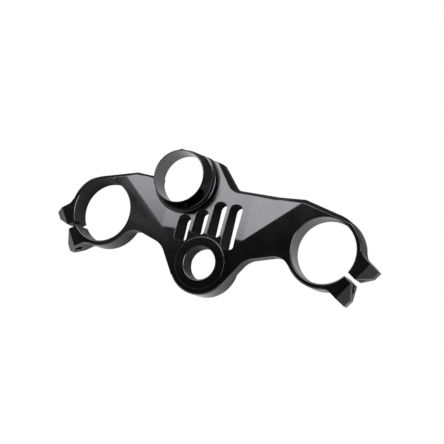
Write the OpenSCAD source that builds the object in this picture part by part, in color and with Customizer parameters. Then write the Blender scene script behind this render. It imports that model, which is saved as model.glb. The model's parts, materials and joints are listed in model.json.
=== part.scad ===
// Upper triple clamp of a sport motorcycle, machined from one billet of aluminium.
// Origin: the steering axis where it leaves the underside. +Z up, +Y forward, +X to the rider's right.

/* [Fork clamps] */
// Diameter of the fork tube that each clamp grips
fork_d = 54; // [50:0.5:56]
// Distance between the two fork tubes
fork_spacing = 204; // [200:1:212]
// Distance of the fork line in front of the steering axis
fork_offset = 29; // [26:0.5:32]
// Wall of the clamp rings
clamp_wall = 4.5; // [4:0.5:6]
// Height of the clamps and of the stem boss
clamp_h = 21; // [19:0.5:25]
// Chamfer on the rims of the bores
rim_chamfer = 0.7; // [0.4:0.1:1]
// Chamfer on the outer rims of the clamps and of the stem boss
ring_chamfer = 1.2; // [0.6:0.1:1.6]

/* [Pinch lugs] */
// Turn of the slit behind the line between the forks, in degrees
slit_angle = 34.5; // [30:0.5:40]
// Width of the slit
slit_w = 4; // [3:0.25:5]
// Width of the pair of lugs across the slit
lug_w = 38.8; // [36:0.2:42]
// Length of the lugs' flat top beyond the ring
lug_flat = 3.7; // [3:0.1:5]
// Length of the sloping end of the lugs
lug_slope = 8; // [6:0.5:10]
// Thickness left at the lugs' tip
lug_tip_h = 8.4; // [6:0.2:10]
// Width of the notch between the two tips
notch_w = 24.4; // [20:0.2:28]
// Rounding where a lug leaves its ring
lug_fillet = 8; // [5:0.5:10]
// Clearance hole for the pinch bolt
bolt_hole_d = 6.6; // [6.4:0.1:7]
// Tapped hole for the pinch bolt, at its minor diameter
bolt_tap_d = 5; // [4.8:0.1:5.2]
// Chamfer at the mouth of that clearance hole
bolt_chamfer = 0.7; // [0.4:0.1:1]
// Distance of the bolt from the wall of the fork tube
bolt_out = 9.4; // [8.6:0.1:9.8]

/* [Stem boss] */
// Bore for the steering stem
stem_d = 28; // [24:0.5:30]
// Diameter of the stem boss
boss_d = 55.6; // [53:0.2:57]
// Distance of the boss's middle in front of the steering axis
boss_forward = 1.1; // [0.5:0.1:1.5]
// Diameter of the raised seat for the stem nut
seat_d = 44.6; // [40:0.2:48]
// Height of that seat above the clamps' top face
seat_h = 0.8; // [0.4:0.1:1.2]
// Diameter of the recess under the boss
stem_recess_d = 35; // [32:0.5:38]
// Depth of that recess
stem_recess_h = 4.8; // [3:0.2:6]

/* [Arms] */
// Turn of the arms' rear edge, in degrees
arm_angle = 17; // [14:0.5:20]
// Heading of the flank that runs up from the boss, in degrees
flank_angle = 57; // [52:1:62]
// Rounding between flank and arm
flank_fillet = 18; // [12:1:24]
// Rounding between arm and clamp
arm_fillet = 14.3; // [10:0.1:16]
// Distance of the front face in front of the fork line
front_reach = 38.4; // [37:0.2:42]
// Distance of the shoulder inside the fork tube
shoulder_in = 24; // [20:1:28]
// Thickness left in the arms above their underside relief
arm_t = 12.5; // [11:0.5:14]
// Thickness of the rib along the front of the relief
front_rib = 9; // [8:0.5:12]
// Half width of the solid middle between the two reliefs
core_half_w = 33.5; // [33:0.5:36]
// Distance of the relief's inner end from the steering axis, beside the boss
relief_in = 22; // [20:0.5:24]
// Distance from the rear end of the outer slots at which the relief leaves the middle
relief_clear = 2; // [1:0.25:4]
// Corner rounding of the reliefs
relief_fillet = 6; // [4:0.5:8]

/* [Front edge] */
// Height of the upright part of the front edge
upright_h = 8.4; // [6:0.2:10]
// Lean of the front edge above it, in degrees from upright
front_lean = 23.5; // [15:0.5:26]
// Distance beside the steering axis at which the lean begins to run out towards the shoulder
lean_end = 52; // [46:1:58]
// Height at which the chamfer above the shoulder begins
edge_low = 17.5; // [16.5:0.1:18]
// Heading of the front face before the collar, in degrees behind the fork line
nose_turn = 9.1; // [8:0.1:12]
// Distance of that face from the collar's axis
nose_front = 24.5; // [24.2:0.1:25]
// Direction that the nose's flank faces, in degrees from the fork line
nose_angle = 41.4; // [38:0.2:46]
// Distance of the nose's flank from the collar's axis
nose_reach = 33.3; // [32:0.1:36]
// Rounding between the nose and the right arm
nose_fillet = 12; // [8:0.5:14]

/* [Top face] */
// Fall of the side facets, in degrees
facet_fall = 9.3; // [6:0.1:10]
// Fall of the middle of the top face, in degrees
floor_fall = 7; // [5:0.1:8]
// Fall of the left arm, in degrees
arm_fall = 1.2; // [0.5:0.1:2]
// Distance in front of the stem at which the middle begins to fall
floor_start = 24.5; // [23.5:0.5:26]
// Distance in front of the stem at which the right facet comes to its point
right_vee_y = 25; // [23:0.5:28]
// Distance in front of the stem at which the left facet comes to its point
left_vee_y = 17.5; // [16:0.1:22]
// Distance of those points beside the steering axis
vee_x = 33.5; // [32:0.5:36]
// Heading of the right facet's long edge, in degrees
right_vee_angle = 42.4; // [38:0.2:46]
// Heading of the left facet's long edge, in degrees
left_vee_angle = 40; // [37:0.2:46]
// Distance of the crease behind the arm's tilted top from the middle of the fork tube
crease_in = 3.3; // [2:0.1:5]
// Direction from the fork tube in which that tilted top ends, in degrees
crease_end = 99; // [95:1:104]

/* [Slots] */
// Width of a slot
slot_w = 11.5; // [10.5:0.25:12]
// Corner rounding of the slots' rear ends
slot_rear_r = 3; // [2:0.25:4]
// Corner rounding of the slots' front ends
slot_front_r = 5; // [4:0.25:5.2]
// Distance between the middles of two slots
slot_pitch = 14.3; // [14:0.1:16]
// Distance of the middle of the slots from the steering axis, to the right
slot_shift = -1.2; // [-2:0.1:0]
// Rear end of the two inner slots, in front of the steering axis
inner_slot_rear = 23.4; // [23.2:0.1:26]
// Rear end of the two outer slots
outer_slot_rear = 15.4; // [15:0.1:18]
// Front end of the two slots on the right
right_slot_front = 54; // [48:0.5:56]
// Front end of the inner slot on the left
left_inner_front = 45; // [42:0.5:45.5]
// Front end of the outer slot on the left
left_outer_front = 38; // [36:0.5:38]

/* [Switch collar] */
// Bore for the ignition switch
collar_d = 44; // [40:0.5:46]
// Distance of the collar's axis from the steering axis, to the right
collar_x = -30.8; // [-32:0.2:-30]
// Distance of the collar's axis in front of the fork line
collar_forward = 38; // [37:0.2:40]
// Height of the collar's rim above the clamps' top face
collar_rise = 13.5; // [8:0.5:18]
// Wall of the collar at its rim
collar_rim_wall = 0.9; // [0.8:0.1:1.5]
// Wall of the collar at its foot
collar_wall = 3.4; // [3:0.1:4]
// Width of the ledge round the foot, beyond the wall
ledge_w = 3.1; // [2:0.1:3.4]
// Length of the collar's bore
collar_bore_l = 20.8; // [16:0.2:24]
// Radius of the bay under the collar that takes the body of the lock
bay_r = 23.8; // [23.4:0.1:24]
// Distance of that bay's middle from the collar's axis, to the left
bay_shift = 4.5; // [4:0.25:5]
// Direction in which the nose ends under the collar, in degrees from the fork line
nose_end = 60; // [50:1:66]

/* [Hidden] */
finish = [0.10, 0.10, 0.11];
$fn = 96;
over = 1;
far = 200;
// How far inside a round wall the edges that run into it begin
blend = 0.05;
// How much a fillet's cutter is larger than the fillet, so that it crosses the edges cleanly
bite = 0.02;
// How far the arms' and lugs' flat faces lie inside those of the rings
flush = 0.05;
// How far the arm's tilted cut reaches past the facet's long edge
facet_reach = 6;
// Heading and length of the relief's front edge beyond the shoulder
rib_turn = 10;
rib_run = 14;
// Slope of the chamfer along the top edge of the front, in degrees
edge_lean = 45;
fork_x = fork_spacing / 2;
ring_r = fork_d / 2 + clamp_wall;
lug_face = ring_r + lug_flat;
lug_end = lug_face + lug_slope;
bolt_a = fork_d / 2 + bolt_out;
ring_in = ring_r - blend;
boss_r = boss_d / 2;
front_y = fork_offset + front_reach;
collar_y = fork_offset + collar_forward;
collar_r = collar_d / 2;
collar_foot_r = collar_r + collar_wall;
ledge_r = collar_foot_r + ledge_w;
collar_top = clamp_h + collar_rise;
collar_low = collar_top - collar_bore_l;
collar_at = [collar_x, collar_y];
boss_at = [0, boss_forward];
seat_r = seat_d / 2;
relief_h = clamp_h - arm_t;

function heading(a) = [cos(a), sin(a)];
function left_of(a) = [-sin(a), cos(a)];
function flip(p) = [-p[0], p[1]];
function along(a, d) = d * heading(a);
// Where two lines meet: each has a point and a heading.
function meet(p, a, q, b) =
    p + heading(a) * ((q - p) * left_of(b)) / (heading(a) * left_of(b));
// Where the line from p touches a circle that lies on its right side.
function touch(p, c, r) =
    let (v = c - p, d = norm(v), s = asin(r / d))
    p + heading(atan2(v[1], v[0]) + s) * d * cos(s);

// The outline of the right half: flank, rear edge of the arm, clamp and shoulder.
flank_foot = boss_at + along(flank_angle - 90, boss_r - blend);
fork_at = [fork_x, fork_offset];
flank_corner = meet(flank_foot, flank_angle, fork_at, arm_angle);
flank_tangent = flank_fillet * tan((flank_angle - arm_angle) / 2);
flank_a = flank_corner - along(flank_angle, flank_tangent);
flank_b = flank_corner + along(arm_angle, flank_tangent);
flank_c = flank_a - left_of(flank_angle) * flank_fillet;
notch_run = sqrt(pow(ring_in + arm_fillet, 2) - pow(arm_fillet, 2));
notch_a = fork_at - along(arm_angle, notch_run);
notch_c = notch_a - left_of(arm_angle) * arm_fillet;
notch_b = fork_at + (notch_c - fork_at) * ring_in / (ring_in + arm_fillet);
shoulder = [fork_x - shoulder_in, front_y];
shoulder_b = touch(shoulder, fork_at, ring_in);

// The lean's plane turns where it begins to run out, and the chamfer rises with the right facet.
lean_end_at = [lean_end, front_y];
lean_turn = asin((edge_low - upright_h) * tan(front_lean) / (shoulder[0] - lean_end));
edge_turn = atan(sin(right_vee_angle) * tan(facet_fall));

// The nose beside the collar: its front face cuts the collar's wall flat.
nose_face_at = collar_at + along(90 - nose_turn, nose_front);
nose_flank_at = collar_at + along(nose_angle, nose_reach);
nose_tip = meet(nose_face_at, -nose_turn, nose_flank_at, nose_angle - 90);
nose_end_at = meet(nose_face_at, -nose_turn, collar_at, nose_end);
nose_corner = meet(nose_flank_at, nose_angle - 90, [0, front_y], 0);
nose_tangent = nose_fillet * tan((90 - nose_angle) / 2);
nose_a = nose_corner + [nose_tangent, 0];
nose_b = nose_corner + along(nose_angle + 90, nose_tangent);
nose_c = nose_a + [0, nose_fillet];

// The lug's outline about the slit: a fillet joins its side to the ring.
lug_fillet_b = lug_w / 2 + lug_fillet;
lug_fillet_a = sqrt(pow(ring_in + lug_fillet, 2) - pow(lug_fillet_b, 2));
lug_foot = [lug_fillet_a, lug_fillet_b] * ring_in / (ring_in + lug_fillet);

// Outline of the body seen from above, without the rings.
module outline() {
    half = [flank_foot, flank_a, flank_b, notch_a, notch_b, fork_at, shoulder_b, shoulder];
    difference() {
        polygon(concat(
            half,
            [nose_a, nose_b, nose_tip, nose_end_at, collar_at, [collar_x, front_y]],
            [for (i = [len(half) - 1 : -1 : 0]) flip(half[i])]
        ));
        for (s = [-1, 1]) {
            translate([s * flank_c[0], flank_c[1]]) circle(r = flank_fillet + bite);
            translate([s * notch_c[0], notch_c[1]]) circle(r = arm_fillet + bite);
        }
        translate(nose_c) circle(r = nose_fillet + bite);
    }
}

// All that lies above a top face which falls to the left of a line.
module above_slope(at, angle, fall) {
    translate([at[0], at[1], clamp_h]) rotate([0, 0, angle]) rotate([-fall, 0, 0])
        translate([-far, -far, 0]) cube([2 * far, 2 * far, far]);
}

// The pocket of the top face: the middle falls forwards, the facets fall from their long edges.
module top_pocket() {
    intersection() {
        above_slope([0, floor_start], 0, floor_fall);
        above_slope([vee_x, right_vee_y], right_vee_angle, facet_fall);
        mirror([1, 0, 0]) above_slope([vee_x, left_vee_y], left_vee_angle, facet_fall);
    }
}

// The left arm's tilted top, mirrored: it falls forwards from a crease near the rear edge.
module arm_top() {
    crease_at = fork_at + [0, crease_in];
    inside = [vee_x, left_vee_y] + left_of(left_vee_angle) * facet_reach;
    intersection() {
        translate([0, 0, arm_t]) linear_extrude(clamp_h) polygon([
            crease_at, crease_at - along(arm_angle, fork_x - vee_x), inside,
            inside + along(left_vee_angle, fork_x - vee_x),
            fork_at + along(crease_end, ring_r + front_rib)
        ]);
        above_slope(crease_at, arm_angle, arm_fall);
    }
}

// A leaning cut along a straight stretch of the front edge, with the outside on its left.
module lean_cut(from, to, before = 0, after = 0, low = upright_h, lean = front_lean) {
    run = to - from;
    translate([from[0], from[1], low]) rotate([0, 0, atan2(run[1], run[0])])
        rotate([lean, 0, 0]) translate([-before, 0, -clamp_h])
            cube([norm(run) + before + after, clamp_h * 2, clamp_h * 3]);
}

// The lean along the right half of the front. It narrows to a chamfer towards the shoulder.
module front_cut(start) {
    intersection() {
        lean_cut([start, front_y], shoulder, 0, clamp_h);
        lean_cut(lean_end_at, lean_end_at + heading(lean_turn), lean_end, fork_x);
    }
    edge_run = (shoulder[0] - lean_end) / cos(edge_turn);
    lean_cut(shoulder - along(edge_turn, edge_run), shoulder, 0, clamp_h, edge_low, edge_lean);
}

// The lean of the whole front edge, with a cone in the inner corner beside the nose.
module front_lean_cuts() {
    rise = clamp_h - upright_h + over;
    front_cut(nose_a[0]);
    mirror([1, 0, 0]) front_cut(-collar_x);
    lean_cut(nose_tip, nose_b, clamp_h);
    translate([nose_c[0], nose_c[1], upright_h])
        cylinder(h = rise, r1 = nose_fillet + bite, r2 = nose_fillet + bite + rise * tan(front_lean));
}

// The chamfer above the shoulder, which runs on over the ring.
module shoulder_cut() {
    lean_cut(shoulder, shoulder_b, clamp_h, ring_r, edge_low, edge_lean);
}

// A flat hollow under the right arm, open at the rear.
module arm_relief() {
    front = front_y - front_rib;
    rib_end = shoulder - [front_rib, front_rib];
    translate([0, 0, -over]) linear_extrude(relief_h + over) union() {
        polygon([
            [relief_in, -boss_r], [fork_x, -boss_r], fork_at, rib_end + along(-rib_turn, rib_run), rib_end,
            [core_half_w + relief_fillet, front], [core_half_w, front - relief_fillet],
            [core_half_w, outer_slot_rear + relief_clear], [relief_in, outer_slot_rear / 2]
        ]);
        translate([core_half_w + relief_fillet, front - relief_fillet]) circle(r = relief_fillet);
    }
}

module web() {
    difference() {
        translate([0, 0, flush]) linear_extrude(clamp_h - 2 * flush) outline();
        top_pocket();
        front_lean_cuts();
        for (s = [0, 1]) mirror([s, 0, 0]) arm_relief();
    }
}

// A disc with both rims chamfered.
module rimmed(r, h, c) {
    rotate_extrude() polygon([[0, 0], [r - c, 0], [r, c], [r, h - c], [r - c, h], [0, h]]);
}

// A through bore with both rims chamfered.
module rimmed_bore(r, low, high, c) {
    translate([0, 0, low - over]) cylinder(h = high - low + 2 * over, r = r);
    translate([0, 0, high - c]) cylinder(h = c + over, r1 = r, r2 = r + c + over);
    translate([0, 0, low - over]) cylinder(h = c + over, r1 = r + c + over, r2 = r);
}

// The pair of lugs that the slit parts, along +X from the fork tube's axis.
module lugs() {
    top = clamp_h - flush;
    slope_h = (clamp_h - lug_tip_h) / 2;
    intersection() {
        linear_extrude(clamp_h) difference() {
            polygon([
                [0, 0], [lug_foot[0], -lug_foot[1]], [lug_fillet_a, -lug_w / 2], [lug_end, -lug_w / 2],
                [lug_end, lug_w / 2], [lug_fillet_a, lug_w / 2], lug_foot
            ]);
            for (s = [-1, 1]) translate([lug_fillet_a, s * lug_fillet_b]) circle(r = lug_fillet + bite);
        }
        translate([0, lug_w, 0]) rotate([90, 0, 0]) linear_extrude(2 * lug_w) polygon([
            [-over, flush], [lug_face, flush], [lug_end, slope_h], [lug_end, slope_h + lug_tip_h],
            [lug_face, top], [-over, top]
        ]);
    }
}

// What is cut from ring and lugs: the slit, the notch between the tips and the bolt's holes.
module pinch_cuts() {
    flare = (notch_w - slit_w) / 2 * (lug_slope + over) / lug_slope;
    w = slit_w / 2;
    translate([0, 0, -over]) linear_extrude(clamp_h + 2 * over) polygon([
        [fork_d / 2 - clamp_wall, -w], [lug_face, -w], [lug_end + over, -w - flare],
        [lug_end + over, w + flare], [lug_face, w], [fork_d / 2 - clamp_wall, w]
    ]);
    translate([bolt_a, 0, clamp_h / 2]) rotate([90, 0, 0]) {
        cylinder(h = lug_w, d = bolt_hole_d);
        translate([0, 0, lug_w / 2 - bolt_chamfer]) cylinder(
            h = 2 * bolt_chamfer, d1 = bolt_hole_d, d2 = bolt_hole_d + 4 * bolt_chamfer
        );
    }
    translate([bolt_a, 0, clamp_h / 2]) rotate([-90, 0, 0]) cylinder(h = lug_w, d = bolt_tap_d);
}

module clamp_body() {
    translate([fork_x, fork_offset, 0]) {
        rimmed(ring_r, clamp_h, ring_chamfer);
        rotate([0, 0, -slit_angle]) lugs();
    }
}

module clamp_cuts() {
    translate([fork_x, fork_offset, 0]) {
        rimmed_bore(fork_d / 2, 0, clamp_h, rim_chamfer);
        rotate([0, 0, -slit_angle]) pinch_cuts();
    }
}

module stem_boss() {
    translate([0, boss_forward, 0]) rimmed(boss_r, clamp_h, ring_chamfer);
    rotate_extrude() polygon([
        [0, clamp_h - over], [seat_r, clamp_h - over], [seat_r, clamp_h + seat_h / 2],
        [seat_r - seat_h / 2, clamp_h + seat_h], [0, clamp_h + seat_h]
    ]);
}

module stem_cuts() {
    rimmed_bore(stem_d / 2, 0, clamp_h + seat_h, rim_chamfer);
    translate([0, 0, -over]) cylinder(h = stem_recess_h + over, d = stem_recess_d);
}

// The collar's turned outside: a ledge at its foot, a small cove and a slightly conical wall.
module collar_body() {
    cove = collar_wall / 2;
    difference() {
        translate([collar_x, collar_y, 0]) rotate_extrude() polygon([
            [0, collar_low], [ledge_r, collar_low], [ledge_r, clamp_h - cove],
            [ledge_r - cove / 4, clamp_h - cove / 4], [ledge_r - cove / 2, clamp_h],
            [collar_foot_r + cove / 3, clamp_h + cove / 2], [collar_foot_r, clamp_h + cove],
            [collar_r + collar_rim_wall, collar_top - rim_chamfer / 4],
            [collar_r + collar_rim_wall - rim_chamfer / 4, collar_top], [0, collar_top]
        ]);
        translate([nose_face_at[0], nose_face_at[1], 0]) rotate([0, 0, -nose_turn])
            translate([-far, 0, 0]) cube([2 * far, far, collar_top]);
    }
}

module collar_cuts() {
    translate([collar_x, collar_y, 0]) {
        translate([0, 0, -over]) cylinder(h = collar_top + 2 * over, r = collar_r);
        translate([-bay_shift, 0, -over]) cylinder(h = collar_low + over, r = bay_r);
    }
}

module slot(x, rear, front) {
    side = slot_w / 2;
    translate([x, 0, -over]) linear_extrude(clamp_h + 2 * over) union() {
        translate([-side, rear + slot_rear_r]) square([slot_w, front - rear - slot_rear_r - slot_front_r]);
        translate([slot_rear_r - side, rear]) square([slot_w - 2 * slot_rear_r, 2 * slot_rear_r]);
        translate([slot_front_r - side, front - 2 * slot_front_r])
            square([slot_w - 2 * slot_front_r, 2 * slot_front_r]);
        for (s = [-1, 1]) {
            translate([s * (side - slot_rear_r), rear + slot_rear_r]) circle(r = slot_rear_r);
            translate([s * (side - slot_front_r), front - slot_front_r]) circle(r = slot_front_r);
        }
    }
}

module slots() {
    slot(slot_shift - 1.5 * slot_pitch, outer_slot_rear, left_outer_front);
    slot(slot_shift - 0.5 * slot_pitch, inner_slot_rear, left_inner_front);
    slot(slot_shift + 0.5 * slot_pitch, inner_slot_rear, right_slot_front);
    slot(slot_shift + 1.5 * slot_pitch, outer_slot_rear, right_slot_front);
}

module top_clamp() {
    color(finish) difference() {
        union() {
            difference() {
                union() {
                    web();
                    for (s = [0, 1]) mirror([s, 0, 0]) clamp_body();
                }
                for (s = [0, 1]) mirror([s, 0, 0]) shoulder_cut();
                mirror([1, 0, 0]) arm_top();
            }
            stem_boss();
            collar_body();
        }
        for (s = [0, 1]) mirror([s, 0, 0]) clamp_cuts();
        stem_cuts();
        collar_cuts();
        slots();
    }
}

top_clamp();
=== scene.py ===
# %% [markdown]
# # A machined upper triple clamp
# This scene dresses the solid of a motorcycle's upper triple clamp, the plate that holds the tops of both
# fork tubes. The real one is milled from one block of aluminium and then anodised black. The solid comes
# in as a fixed frame, and everything here is built on it.

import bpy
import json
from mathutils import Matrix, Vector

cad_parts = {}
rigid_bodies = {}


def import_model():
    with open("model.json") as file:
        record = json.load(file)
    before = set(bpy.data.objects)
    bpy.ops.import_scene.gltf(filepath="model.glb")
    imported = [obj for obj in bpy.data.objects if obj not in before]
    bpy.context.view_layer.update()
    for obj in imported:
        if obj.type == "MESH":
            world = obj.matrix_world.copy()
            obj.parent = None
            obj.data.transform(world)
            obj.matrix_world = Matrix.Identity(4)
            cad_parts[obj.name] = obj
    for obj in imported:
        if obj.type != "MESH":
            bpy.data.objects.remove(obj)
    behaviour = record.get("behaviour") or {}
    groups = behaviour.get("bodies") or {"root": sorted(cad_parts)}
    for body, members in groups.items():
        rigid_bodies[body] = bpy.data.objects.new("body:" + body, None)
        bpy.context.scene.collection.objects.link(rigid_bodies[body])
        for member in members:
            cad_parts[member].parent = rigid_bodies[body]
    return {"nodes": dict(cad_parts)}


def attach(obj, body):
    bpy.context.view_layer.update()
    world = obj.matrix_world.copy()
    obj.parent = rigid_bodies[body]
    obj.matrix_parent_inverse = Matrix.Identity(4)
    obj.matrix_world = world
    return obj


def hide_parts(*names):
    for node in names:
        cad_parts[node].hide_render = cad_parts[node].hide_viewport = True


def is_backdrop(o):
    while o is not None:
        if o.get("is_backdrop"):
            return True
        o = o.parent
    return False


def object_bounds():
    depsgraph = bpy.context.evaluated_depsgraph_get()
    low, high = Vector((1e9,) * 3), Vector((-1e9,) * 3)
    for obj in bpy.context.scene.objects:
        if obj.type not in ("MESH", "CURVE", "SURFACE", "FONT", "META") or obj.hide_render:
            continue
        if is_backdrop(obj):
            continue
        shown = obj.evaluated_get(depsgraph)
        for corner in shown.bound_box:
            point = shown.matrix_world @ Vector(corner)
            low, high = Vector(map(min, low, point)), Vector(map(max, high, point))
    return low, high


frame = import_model()
box_low, box_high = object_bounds()
print("solid's box in metres:", [round(v, 4) for v in (*box_low, *box_high)])

# %% Helpers from Blender
import json
import math

import bmesh
import bpy
from mathutils import Matrix, Vector

scene = bpy.context.scene
scene.view_settings.view_transform = "Standard"
MM = 0.001

# %% [markdown]
# ## Camera
# The camera stands behind and above the rider's right, far off, so the part is seen in mild perspective.
# Its place and turn were fitted to the rims of the bores. It comes first because everything after it is
# judged from there.

# %% Camera at the photograph's angle
SENSOR, LENS = 36, 82.42
CAMERA_PLACE = (0.33977, -0.06737, 0.79103)
camera_data = bpy.data.cameras.new("camera")
camera_data.sensor_width = SENSOR
camera_data.lens = LENS
camera = bpy.data.objects.new("camera", camera_data)
scene.collection.objects.link(camera)
right = Vector((0.90690, 0.22528, -0.35606))
down = Vector((0.16162, -0.96642, -0.19980))
ahead = Vector((-0.38912, 0.12365, -0.91285))
turn = Matrix((right, -down, -ahead)).transposed()
camera.matrix_world = Matrix.Translation(CAMERA_PLACE) @ turn.to_4x4()
scene.camera = camera
print("camera at", [round(v, 3) for v in camera.location])

# %% [markdown]
# ## The body's mesh
# On the real part the whole body is one piece of metal. Its solid comes as loose triangles, so a copy is
# merged into one skin. The solid's flats lie a few hundredths of a millimetre apart, so that they never
# touch edge to edge. Here they are set level first, or each tiny step would show as a line. Triangles that
# lie in one plane are then joined, because a bevel runs cleanly only along the edges of whole faces.

# %% Merged copy of the body
TOP = 21 * MM
LEVELS = (0.0, TOP)
SAME_POINT = 0.07 * MM
SAME_PLANE = 0.8


def merged_copy(node, name, gap):
    mesh = frame["nodes"][node].data.copy()
    mesh.name = name
    bm = bmesh.new()
    bm.from_mesh(mesh)
    for point in bm.verts:
        for level in LEVELS:
            if abs(point.co.z - level) < gap:
                point.co.z = level
    bmesh.ops.remove_doubles(bm, verts=bm.verts, dist=gap)
    bmesh.ops.dissolve_degenerate(bm, dist=gap / 4, edges=bm.edges)
    bmesh.ops.dissolve_limit(
        bm,
        angle_limit=math.radians(SAME_PLANE),
        verts=bm.verts,
        edges=bm.edges,
        use_dissolve_boundaries=False,
    )
    bm.to_mesh(mesh)
    bm.free()
    mesh.materials.clear()
    piece = bpy.data.objects.new(name, mesh)
    scene.collection.objects.link(piece)
    return piece


body = merged_copy("top_clamp", "clamp_body", SAME_POINT)
print("merged body:", len(body.data.vertices), "points,", len(body.data.polygons), "faces")

# %% [markdown]
# ## Broken edges
# A milled part has no truly sharp edge. Each one is broken by a fine chamfer or by tumbling, and it shows
# as a thin bright line. A Bevel modifier could round every edge, but the soft bends of the top need none,
# so it takes only clear outer corners, and none of the hidden underside. Sharp marks beside it and
# weighted normals then keep the flats flat.

# %% Bevel and normals
EDGE_BREAK = 0.25 * MM
SOFT_UNDER = 18
BROKEN_OVER = 37
UNDERSIDE = 1 * MM


def broken_edges(piece, width, sharper_than, above):
    bm = bmesh.new()
    bm.from_mesh(piece.data)
    chosen = bm.edges.layers.float.new("bevel_weight_edge")
    for face in bm.faces:
        face.smooth = True
    for edge in bm.edges:
        angle = math.degrees(edge.calc_face_angle(0.0))
        low = min(point.co.z for point in edge.verts)
        edge.smooth = angle < SOFT_UNDER
        edge[chosen] = float(edge.is_convex and angle > sharper_than and low > above)
    bm.to_mesh(piece.data)
    bm.free()
    bevel = piece.modifiers.new("broken_edges", "BEVEL")
    bevel.width = width
    bevel.segments = 2
    bevel.limit_method = "WEIGHT"
    bevel.use_clamp_overlap = False
    bevel.mark_sharp = True
    weighted = piece.modifiers.new("flat_flats", "WEIGHTED_NORMAL")
    weighted.keep_sharp = True


broken_edges(body, EDGE_BREAK, BROKEN_OVER, UNDERSIDE)
finished = body.evaluated_get(bpy.context.evaluated_depsgraph_get()).to_mesh()
print("with broken edges:", len(finished.polygons), "faces,", len(finished.loop_triangles), "triangles")

# %% [markdown]
# ## Tools for building materials
# The same effects come back in more than one material, so each is a node group with named sockets. These
# two helpers keep the building of nodes short: one makes a node and fills its inputs, the other starts a
# group with its sockets.

# %% Node helpers
def put(tree, kind, values=None, **settings):
    made = tree.nodes.new(kind)
    for key, value in settings.items():
        setattr(made, key, value)
    for key, value in (values or {}).items():
        if isinstance(value, bpy.types.NodeSocket):
            tree.links.new(value, made.inputs[key])
        else:
            made.inputs[key].default_value = value
    return made


def group(name, inputs, outputs):
    tree = bpy.data.node_groups.new(name, "ShaderNodeTree")
    for label, kind, value in inputs:
        socket = tree.interface.new_socket(name=label, in_out="INPUT", socket_type=kind)
        if value is not None:
            socket.default_value = value
    for label, kind in outputs:
        tree.interface.new_socket(name=label, in_out="OUTPUT", socket_type=kind)
    return tree, tree.nodes.new("NodeGroupInput").outputs, tree.nodes.new("NodeGroupOutput").inputs


def maths(tree, operation, a, b=0.0, clamp=False):
    return put(tree, "ShaderNodeMath", {0: a, 1: b}, operation=operation, use_clamp=clamp).outputs[0]


# %% [markdown]
# ## Edge wear
# Handling and washing rub the dyed layer thin along edges, and grey metal begins to show. The bevel node
# compares the surface with a rounded copy of itself, which finds every edge without any painting. The
# mask leaves out bends of less than about 14 degrees. Noise breaks it up, because wear is never even.

# %% Group for edge wear
def edge_wear_group():
    tree, given, out = group(
        "edge_wear",
        [("Width", "NodeSocketFloat", 0.4 * MM), ("Amount", "NodeSocketFloat", 1.0)],
        [("Wear", "NodeSocketFloat")],
    )
    rounded = put(tree, "ShaderNodeBevel", {"Radius": given["Width"]}, samples=6).outputs[0]
    true = put(tree, "ShaderNodeNewGeometry").outputs["True Normal"]
    same = put(
        tree, "ShaderNodeVectorMath", {0: rounded, 1: true}, operation="DOT_PRODUCT"
    ).outputs["Value"]
    edge = put(
        tree, "ShaderNodeMapRange", {0: same, "From Min": 0.97, "From Max": 0.88}, clamp=True
    ).outputs[0]
    place = put(tree, "ShaderNodeTexCoord").outputs["Object"]
    patches = put(tree, "ShaderNodeTexNoise", {"Vector": place, "Scale": 220.0, "Detail": 4.0}).outputs[0]
    broken = put(
        tree, "ShaderNodeMapRange", {0: patches, "From Min": 0.35, "From Max": 0.7, "To Min": 0.35}
    ).outputs[0]
    tree.links.new(
        maths(tree, "MULTIPLY", maths(tree, "MULTIPLY", edge, broken), given["Amount"], True), out["Wear"]
    )
    return tree


edge_wear = edge_wear_group()
print("group:", edge_wear.name, [s.name for s in edge_wear.interface.items_tree])

# %% [markdown]
# ## Cutter marks
# A milling cutter leaves fine lines beside each other, and a lathe tool leaves rings. Both stay visible
# under the dyed layer. Noise that is stretched along one direction gives lines of uneven depth. For the
# rings the noise reads the distance from an axis instead.

# %% Group for milled lines
def milled_lines_group():
    tree, given, out = group(
        "milled_lines",
        [
            ("Turn", "NodeSocketFloat", 0.0),
            ("Pitch", "NodeSocketFloat", 0.35 * MM),
            ("Length", "NodeSocketFloat", 30 * MM),
        ],
        [("Height", "NodeSocketFloat"), ("Shade", "NodeSocketFloat")],
    )
    place = put(tree, "ShaderNodeTexCoord").outputs["Object"]
    turned = put(
        tree, "ShaderNodeVectorRotate", {"Vector": place, "Angle": given["Turn"]}, rotation_type="Z_AXIS"
    ).outputs[0]
    per_pitch = maths(tree, "DIVIDE", 1.0, given["Pitch"])
    per_length = maths(tree, "DIVIDE", 1.0, given["Length"])
    scale = put(
        tree, "ShaderNodeCombineXYZ", {"X": per_length, "Y": per_pitch, "Z": per_pitch}
    ).outputs[0]
    stretched = put(
        tree, "ShaderNodeVectorMath", {0: turned, 1: scale}, operation="MULTIPLY"
    ).outputs[0]
    lines = put(
        tree, "ShaderNodeTexNoise", {"Vector": stretched, "Scale": 1.0, "Detail": 3.0, "Roughness": 0.6}
    ).outputs[0]
    broad = put(tree, "ShaderNodeTexNoise", {"Vector": place, "Scale": 60.0, "Detail": 2.0}).outputs[0]
    tree.links.new(lines, out["Height"])
    tree.links.new(broad, out["Shade"])
    return tree


milled_lines = milled_lines_group()
print("group:", milled_lines.name, [s.name for s in milled_lines.interface.items_tree])

# %% [markdown]
# ## Turned rings
# The collar and the boss were bored and faced round their own axes, so their marks are circles. The group
# measures the distance from an axis and the height, and reads noise along both. One group serves every
# axis, because its middle is an input.

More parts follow.
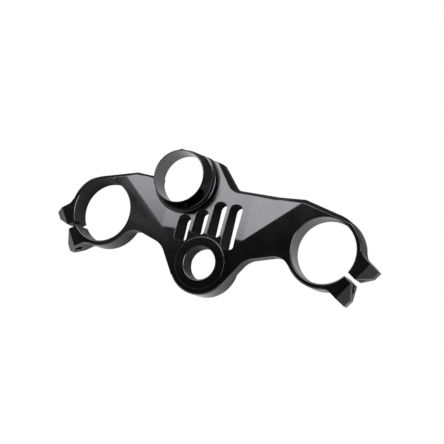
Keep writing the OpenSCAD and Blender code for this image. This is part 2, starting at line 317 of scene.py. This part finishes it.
# %% Group for turned rings
def turned_rings_group():
    tree, given, out = group(
        "turned_rings",
        [
            ("Middle", "NodeSocketVector", (0.0, 0.0, 0.0)),
            ("Pitch", "NodeSocketFloat", 0.3 * MM),
            ("Radius", "NodeSocketFloat", 25 * MM),
        ],
        [("Height", "NodeSocketFloat"), ("Inside", "NodeSocketFloat")],
    )
    place = put(tree, "ShaderNodeTexCoord").outputs["Object"]
    offset = put(
        tree, "ShaderNodeVectorMath", {0: place, 1: given["Middle"]}, operation="SUBTRACT"
    ).outputs[0]
    parts = put(tree, "ShaderNodeSeparateXYZ", {0: offset}).outputs
    flat = put(tree, "ShaderNodeCombineXYZ", {"X": parts["X"], "Y": parts["Y"]}).outputs[0]
    reach = put(tree, "ShaderNodeVectorMath", {0: flat}, operation="LENGTH").outputs["Value"]
    along = maths(tree, "DIVIDE", maths(tree, "ADD", reach, parts["Z"]), given["Pitch"])
    rings = put(
        tree, "ShaderNodeTexNoise", {"W": along, "Scale": 1.0, "Detail": 2.0}, noise_dimensions="1D"
    ).outputs[0]
    tree.links.new(rings, out["Height"])
    tree.links.new(maths(tree, "LESS_THAN", reach, given["Radius"]), out["Inside"])
    return tree


turned_rings = turned_rings_group()
print("group:", turned_rings.name, [s.name for s in turned_rings.interface.items_tree])

# %% [markdown]
# ## Soft creases
# The three falling planes of the top meet the level arms in edges of only a few degrees, and polishing has
# drawn them out into soft bends. Cutting so flat a bend into the mesh would need long thin faces. The
# planes are known, so the normal is blended between them by how deep each lies below a point instead. Each
# plane is given by a point of its edge in millimetres, its heading and its fall in degrees.

# %% Group for soft creases
MIDDLE_PLANE = ((0, 24.5), 0, 7.0)
RIGHT_PLANE = ((33.5, 25.0), 42.4, 9.3)
LEFT_PLANE = ((-33.5, 17.5), -40.0, 9.3)
FACES_UP = 0.97


def soft_creases_group():
    tree, given, out = group(
        "soft_creases",
        [("Softness", "NodeSocketFloat", 0.25 * MM), ("Edge", "NodeSocketFloat", 0.12 * MM)],
        [("Normal", "NodeSocketVector"), ("Pocket", "NodeSocketFloat")],
    )
    place = put(tree, "ShaderNodeTexCoord").outputs["Object"]
    true = put(tree, "ShaderNodeNewGeometry").outputs["Normal"]

    def plane(start, heading, fall):
        slope = math.tan(math.radians(fall))
        side = Vector((-math.sin(math.radians(heading)), math.cos(math.radians(heading)), 0))
        shift = -side.dot(Vector((*start, 0))) * MM * slope
        reach = put(
            tree, "ShaderNodeVectorMath", {0: place, 1: side * slope}, operation="DOT_PRODUCT"
        ).outputs["Value"]
        return maths(tree, "ADD", reach, shift), (side * slope + Vector((0, 0, 1))).normalized()

    def blend(value, width, low, high):
        share = put(
            tree,
            "ShaderNodeMapRange",
            {0: value, "From Min": maths(tree, "MULTIPLY", width, -1.0), "From Max": width},
            interpolation_type="SMOOTHSTEP",
        ).outputs[0]
        return put(
            tree, "ShaderNodeMix", {"Factor": share, 4: low, 5: high}, data_type="VECTOR"
        ).outputs[1]

    middle, middle_normal = plane(*MIDDLE_PLANE)
    right_side, right_normal = plane(*RIGHT_PLANE)
    left_side, left_normal = plane(*LEFT_PLANE)
    soft = given["Softness"]
    pair = blend(maths(tree, "SUBTRACT", middle, right_side), soft, middle_normal, right_normal)
    both = maths(tree, "MINIMUM", middle, right_side)
    three = blend(maths(tree, "SUBTRACT", both, left_side), soft, pair, left_normal)
    depth = maths(tree, "MINIMUM", both, left_side)
    inside = maths(tree, "GREATER_THAN", depth, 0.0)
    level = put(
        tree, "ShaderNodeMix", {"Factor": inside, 4: true, 5: (0, 0, 1)}, data_type="VECTOR"
    ).outputs[1]
    bent = blend(depth, given["Edge"], level, three)
    upward = put(tree, "ShaderNodeSeparateXYZ", {0: true}).outputs["Z"]
    height = put(tree, "ShaderNodeSeparateXYZ", {0: place}).outputs["Z"]
    surface = maths(tree, "SUBTRACT", TOP, maths(tree, "MAXIMUM", depth, 0.0))
    on_top = maths(
        tree,
        "MULTIPLY",
        maths(tree, "GREATER_THAN", upward, FACES_UP),
        maths(tree, "LESS_THAN", maths(tree, "ABSOLUTE", maths(tree, "SUBTRACT", height, surface)), MM),
    )
    final = put(tree, "ShaderNodeMix", {"Factor": on_top, 4: true, 5: bent}, data_type="VECTOR").outputs[1]
    tree.links.new(
        put(tree, "ShaderNodeVectorMath", {0: final}, operation="NORMALIZE").outputs[0], out["Normal"]
    )
    tree.links.new(maths(tree, "MULTIPLY", inside, on_top), out["Pocket"])
    return tree


soft_creases = soft_creases_group()
print("group:", soft_creases.name, [s.name for s in soft_creases.interface.items_tree])

# %% [markdown]
# ## Black anodised aluminium
# Anodising grows a thin hard layer that takes black dye. Face on it looks nearly black, and at a slant it
# turns into a soft mirror. So the material is a metal with a very dark base. Its roughness changes a little
# over the surface, and the marks of the tools are a slight bump.

# %% Material of the body
COLLAR_MIDDLE = (-30.8 * MM, 67 * MM, 0.0)
COLLAR_RINGS = 28.6 * MM
BOSS_RINGS = 22.3 * MM
CUTTER_TURN = -30
DYE_DEEP = (0.040, 0.040, 0.042, 1)
DYE_THIN = (0.060, 0.060, 0.063, 1)
WORN_METAL = (0.24, 0.24, 0.25, 1)
WORN_ROUGHNESS = 0.2


def anodised_material(name):
    made = bpy.data.materials.new(name)
    made.use_nodes = True
    tree = made.node_tree
    shader = tree.nodes["Principled BSDF"]
    shader.inputs["Metallic"].default_value = 1.0
    shader.inputs["Specular Tint"].default_value = (0.7, 0.7, 0.7, 1)

    wear = put(tree, "ShaderNodeGroup", {}, node_tree=edge_wear)
    wear.inputs["Amount"].default_value = 0.8
    lines = put(tree, "ShaderNodeGroup", {}, node_tree=milled_lines)
    lines.inputs["Turn"].default_value = math.radians(CUTTER_TURN)
    boss = put(tree, "ShaderNodeGroup", {}, node_tree=turned_rings)
    boss.inputs["Radius"].default_value = BOSS_RINGS
    collar = put(tree, "ShaderNodeGroup", {}, node_tree=turned_rings)
    collar.inputs["Middle"].default_value = COLLAR_MIDDLE
    collar.inputs["Radius"].default_value = COLLAR_RINGS
    creases = put(tree, "ShaderNodeGroup", {}, node_tree=soft_creases)

    def choose(share, low, high):
        return put(tree, "ShaderNodeMix", {"Factor": share, 2: low, 3: high}).outputs[0]

    marks = choose(boss.outputs["Inside"], lines.outputs["Height"], boss.outputs["Height"])
    marks = choose(collar.outputs["Inside"], marks, collar.outputs["Height"])
    bump = put(
        tree,
        "ShaderNodeBump",
        {
            "Height": marks,
            "Strength": 0.05,
            "Distance": 0.02 * MM,
            "Normal": creases.outputs["Normal"],
        },
    )
    tree.links.new(bump.outputs[0], shader.inputs["Normal"])

    rough = put(
        tree,
        "ShaderNodeMapRange",
        {0: lines.outputs["Shade"], "From Min": 0.3, "From Max": 0.7, "To Min": 0.15, "To Max": 0.19},
    ).outputs[0]
    rough = choose(wear.outputs["Wear"], rough, WORN_ROUGHNESS)
    tree.links.new(rough, shader.inputs["Roughness"])

    dye = put(
        tree,
        "ShaderNodeMix",
        {"Factor": marks, 6: DYE_DEEP, 7: DYE_THIN},
        data_type="RGBA",
    ).outputs[2]
    colour = put(
        tree,
        "ShaderNodeMix",
        {"Factor": wear.outputs["Wear"], 6: dye, 7: WORN_METAL},
        data_type="RGBA",
    ).outputs[2]
    tree.links.new(colour, shader.inputs["Base Color"])
    return made


anodised = anodised_material("black_anodised")
body.data.materials.append(anodised)
print("material:", anodised.name, "with", len(anodised.node_tree.nodes), "nodes")

# %% [markdown]
# ## Floor, backdrop and light
# The part lies on a white table in a studio. The camera sees the table plain white. For soft light it is
# paper that keeps the part's shadow. In the black metal's mirror images it shows a painted pool of light,
# because black metal is drawn by what it mirrors. This painted pool is brighter behind the part than in
# front of it, has painted shade where the part shades the table, and painted bright spots in the openings
# of the right clamp and the collar.

# %% White floor with painted light in its mirror images
REACH = 4
PAPER_WHITE = (0.8, 0.8, 0.8, 1)
PAINTED_SHADE_REACH = 50 * MM
corners = [(-REACH, -REACH, 0), (REACH, -REACH, 0), (REACH, REACH, 0), (-REACH, REACH, 0)]
floor_mesh = bpy.data.meshes.new("floor")
floor_mesh.from_pydata(corners, [], [(0, 1, 2, 3)])
floor = bpy.data.objects.new("floor", floor_mesh)
scene.collection.objects.link(floor)
# The floor's material is white paper for the camera and for soft light, and carries the painted light of
# its mirror images.
paper_with_painted_glow = bpy.data.materials.new("white_paper_with_painted_glow")
paper_with_painted_glow.use_nodes = True
tree = paper_with_painted_glow.node_tree
shader = tree.nodes["Principled BSDF"]
shader.inputs["Base Color"].default_value = PAPER_WHITE
shader.inputs["Roughness"].default_value = 0.9
path = put(tree, "ShaderNodeLightPath")
place = put(tree, "ShaderNodeTexCoord").outputs["Object"]
along = put(tree, "ShaderNodeSeparateXYZ", {0: place}).outputs["Y"]
# Painted shade: ambient occlusion dims the floor's mirror glow where the part stands over it.
painted_table_shade = put(tree, "ShaderNodeAmbientOcclusion", {"Distance": PAINTED_SHADE_REACH}, samples=8).outputs["AO"]


# Painted glow: a round patch on the floor's mirror glow, fading from one strength to another between two
# distances.
def painted_glow_around(middle, near, far, inner, outer):
    reach = put(
        tree, "ShaderNodeVectorMath", {0: place, 1: middle}, operation="DISTANCE"
    ).outputs["Value"]
    return put(
        tree,
        "ShaderNodeMapRange",
        {0: reach, "From Min": near, "From Max": far, "To Min": inner, "To Max": outer},
        interpolation_type="SMOOTHSTEP",
    ).outputs[0]


# Painted pool of light in the floor's mirror glow: brighter behind the part, with a faint wide glow round
# it.
painted_pool_behind = put(
    tree,
    "ShaderNodeMapRange",
    {0: along, "From Min": -0.035, "From Max": 0.06, "To Min": 2.0, "To Max": 0.25},
).outputs[0]
painted_pool = maths(tree, "MAXIMUM", painted_pool_behind, painted_glow_around((0.0, 0.04, 0.0), 0.30, 0.60, 0.0, 0.6))
painted_pool = maths(tree, "MULTIPLY", painted_pool, painted_table_shade)
# Painted bright spots in the floor's mirror glow, under the right clamp's bore and inside the collar.
painted_spot_right_clamp = painted_glow_around((0.088, 0.035, 0.0), 0.014, 0.032, 1.0, 0.0)
painted_spot_collar = painted_glow_around((-0.03, 0.07, 0.0), 0.014, 0.034, 1.5, 0.0)
painted_pool = maths(tree, "ADD", painted_pool, painted_spot_right_clamp)
painted_pool = maths(tree, "ADD", painted_pool, painted_spot_collar)
# The camera sees plain white; mirror and transmission rays see the painted pool instead.
by_camera = path.outputs["Is Camera Ray"]
strength = maths(
    tree, "ADD", by_camera, maths(tree, "MULTIPLY", maths(tree, "SUBTRACT", 1.0, by_camera), painted_pool)
)
glow = put(tree, "ShaderNodeEmission", {"Strength": strength})
seen = maths(tree, "MAXIMUM", by_camera, path.outputs["Is Glossy Ray"])
seen = maths(tree, "MAXIMUM", seen, path.outputs["Is Transmission Ray"])
mix = put(tree, "ShaderNodeMixShader", {0: seen, 1: shader.outputs[0], 2: glow.outputs[0]})
tree.links.new(mix.outputs[0], tree.nodes["Material Output"].inputs["Surface"])
floor.data.materials.append(paper_with_painted_glow)
floor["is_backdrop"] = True
print("floor:", [round(v, 2) for v in floor.dimensions])

# %% [markdown]
# ## Studio light
# The walls of the room are pale and its ceiling is dark, so level metal mirrors black. One large soft lamp
# hangs in front: the falling planes mirror it and turn silver, and the level ones just miss it. A weaker
# strip softens its near edge. A dim reflector lights the left arm, and a soft lamp at the right lights the
# lugs and draws the edges that face it.

# %% Studio light
world = bpy.data.worlds.new("studio")
scene.world = world
world.use_nodes = True
tree = world.node_tree
room = put(tree, "ShaderNodeTexCoord").outputs["Generated"]
up = put(tree, "ShaderNodeSeparateXYZ", {0: room}).outputs["Z"]
walls = put(
    tree,
    "ShaderNodeMapRange",
    {0: up, "From Min": 0.25, "From Max": 0.88, "To Min": 1.0, "To Max": 0.02},
    interpolation_type="SMOOTHSTEP",
).outputs[0]
tree.links.new(walls, tree.nodes["Background"].inputs["Strength"])
tree.nodes["Background"].inputs["Color"].default_value = (1, 1, 1, 1)


def lamp(name, place, aim, size, power):
    data = bpy.data.lights.new(name, "AREA")
    data.shape = "RECTANGLE"
    data.size, data.size_y = size
    data.energy = power
    made = bpy.data.objects.new(name, data)
    scene.collection.objects.link(made)
    made.location = place
    made.rotation_mode = "QUATERNION"
    made.rotation_quaternion = (Vector(aim) - Vector(place)).to_track_quat("-Z", "Y")
    return made


def hanging(name, x, y, size, power):
    return lamp(name, (x, y, CEILING), (x, y, 0), size, power)


CEILING = 1.25
front = hanging("front_softbox", -0.5, 1.155, (2.0, 1.3), 59)
slant = Matrix.Rotation(math.radians(3), 3, "Z").to_quaternion()
front.rotation_quaternion = slant @ front.rotation_quaternion
hanging("front_strip", -0.5, 0.45, (2.0, 0.09), 1.5)
hanging("left_reflector", -0.71, 0.21, (0.16, 0.1), 0.05)
lamp("right_softbox", (1.2, 0.1, 0.75), (0.0, 0.03, 0.0), (1.2, 0.7), 20)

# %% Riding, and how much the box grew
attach(body, "root")
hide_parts("top_clamp")
dressed_low, dressed_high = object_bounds()
grown_high = [round((a - b) / MM, 3) for a, b in zip(dressed_high, box_high)]
grown_low = [round((b - a) / MM, 3) for a, b in zip(dressed_low, box_low)]
print("box grown by, in mm, at its high and low sides:", grown_high, grown_low)
